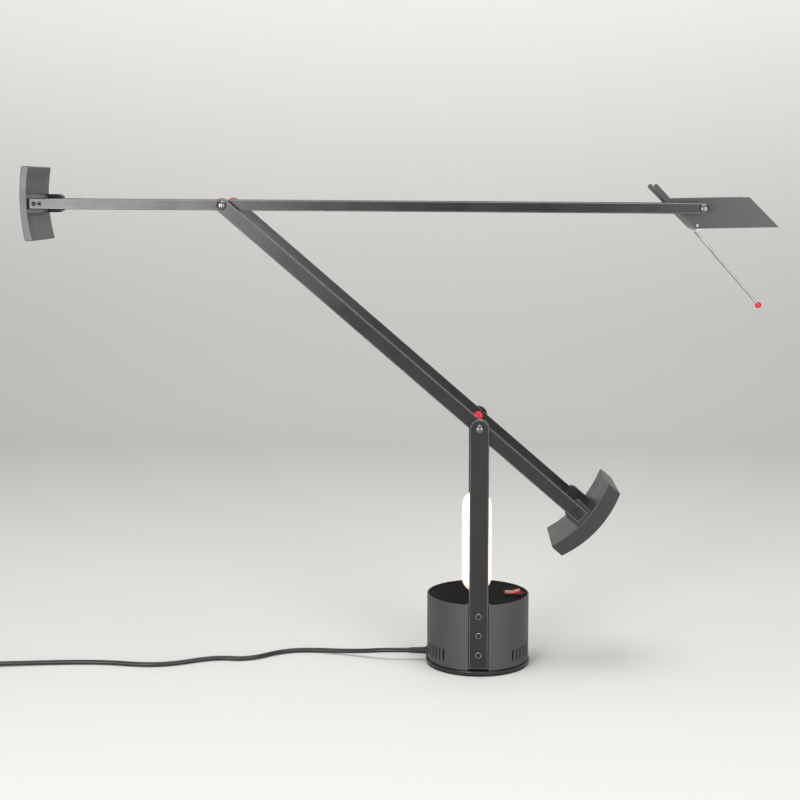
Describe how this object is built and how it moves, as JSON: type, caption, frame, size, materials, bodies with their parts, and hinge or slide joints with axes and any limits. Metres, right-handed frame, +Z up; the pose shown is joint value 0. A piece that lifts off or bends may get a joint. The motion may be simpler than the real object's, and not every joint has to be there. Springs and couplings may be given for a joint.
{
  "type": "counterweight balance desk lamp",
  "caption": "Desk lamp with nested two-bar arms balanced by curved counterweights, flat shade with a wire handle, round swivelling base, opal standing light and rocker switch.",
  "frame": {"origin": "centre of the foot's underside on the table", "axes": "+X points along the upper arm to the lamp head, +Y goes away from the viewer, +Z is up"},
  "size_m": [0.9604, 0.179, 0.5298],
  "materials": {
    "black_paint": "satin",
    "black_aluminium": "satin powder coat",
    "black_gloss": "gloss",
    "weight_paint": "satin",
    "pad_rubber": "matte",
    "ring_ptfe": "satin",
    "bright_steel": "polished",
    "dark_steel": "satin",
    "black_nylon": "matte",
    "red_nylon": "satin",
    "red_rocker": "gloss",
    "white_nylon": "satin",
    "winding_tape": "satin",
    "opal_glass": "opal",
    "clear_glass": "clear",
    "lamp_tube": "frosted",
    "halogen": "clear",
    "reflector_aluminium": "polished",
    "cord_pvc": "satin"
  },
  "bodies": {
    "base": {"housing_shell": "black_paint", "base_plate": "dark_steel", "top_plate": "black_paint", "cover_screws": "dark_steel", "transformer_winding": "winding_tape", "transformer_hub": "black_nylon", "transformer_washer": "bright_steel", "transformer_bolt": "bright_steel", "terminal_block": "white_nylon", "stem_bar_front": "black_paint", "stem_bar_back": "black_paint", "stem_nut_plates": "dark_steel", "stem_screws": "dark_steel", "cord_gland": "black_nylon", "switch_housing": "black_nylon", "light_socket": "black_nylon", "light_glass": "opal_glass", "light_tube": "lamp_tube", "stem_pivot_pins": "dark_steel", "stem_pivot_washers": "bright_steel", "stem_pivot_caps": "red_nylon", "mains_cord": "cord_pvc", "cord_coil": "cord_pvc", "cord_tie": "black_nylon", "plug_body": "cord_pvc", "plug_pins": "bright_steel"},
    "foot": {"foot_disc": "black_gloss", "foot_pad": "pad_rubber", "thrust_ring": "ring_ptfe", "swivel_post": "bright_steel", "swivel_clip": "bright_steel"},
    "rocker": {"switch_rocker": "red_rocker"},
    "lower_arm": {"lower_bar_front": "black_aluminium", "lower_bar_back": "black_aluminium", "large_counterweight": "weight_paint", "large_holders": "black_nylon", "large_weight_screws": "dark_steel", "large_weight_pins": "bright_steel", "elbow_pins": "dark_steel", "elbow_spacers": "red_nylon", "elbow_nuts": "dark_steel"},
    "upper_arm": {"upper_bar_front": "black_aluminium", "upper_bar_back": "black_aluminium", "small_counterweight": "weight_paint", "small_holders": "black_nylon", "small_weight_screws": "dark_steel", "small_weight_pins": "bright_steel", "head_pivot_pins": "dark_steel"},
    "head": {"head_frame": "black_aluminium", "head_cover": "black_aluminium", "reflector": "reflector_aluminium", "lampholder": "white_nylon", "halogen_bulb": "halogen", "front_glass": "clear_glass", "glass_clips": "bright_steel", "head_spacers": "black_nylon", "handle_wire": "bright_steel", "handle_ball": "red_nylon", "handle_clip": "bright_steel", "handle_screws": "bright_steel"}
  },
  "joints": [
    {"name": "base_swivel", "type": "hinge", "parent": "base", "child": "foot", "pos_m": [0, 0, 0], "axis": [0, 0, 1], "continuous": true},
    {"name": "switch_rock", "type": "hinge", "parent": "base", "child": "rocker", "pos_m": [0.0376, 0, 0.0754], "axis": [0, 1, 0], "range_deg": [0, 18]},
    {"name": "lower_arm_tilt", "type": "hinge", "parent": "base", "child": "lower_arm", "pos_m": [0, 0, 0.262], "axis": [0, 1, 0], "range_deg": [-48, 22]},
    {"name": "elbow_tilt", "type": "hinge", "parent": "lower_arm", "child": "upper_arm", "pos_m": [-0.26284, 0, 0.49008], "axis": [0, 1, 0], "range_deg": [-95, 27]},
    {"name": "head_tilt", "type": "hinge", "parent": "upper_arm", "child": "head", "pos_m": [0.22545, 0, 0.48607], "axis": [0, 1, 0], "range_deg": [-90, 90]}
  ]
}
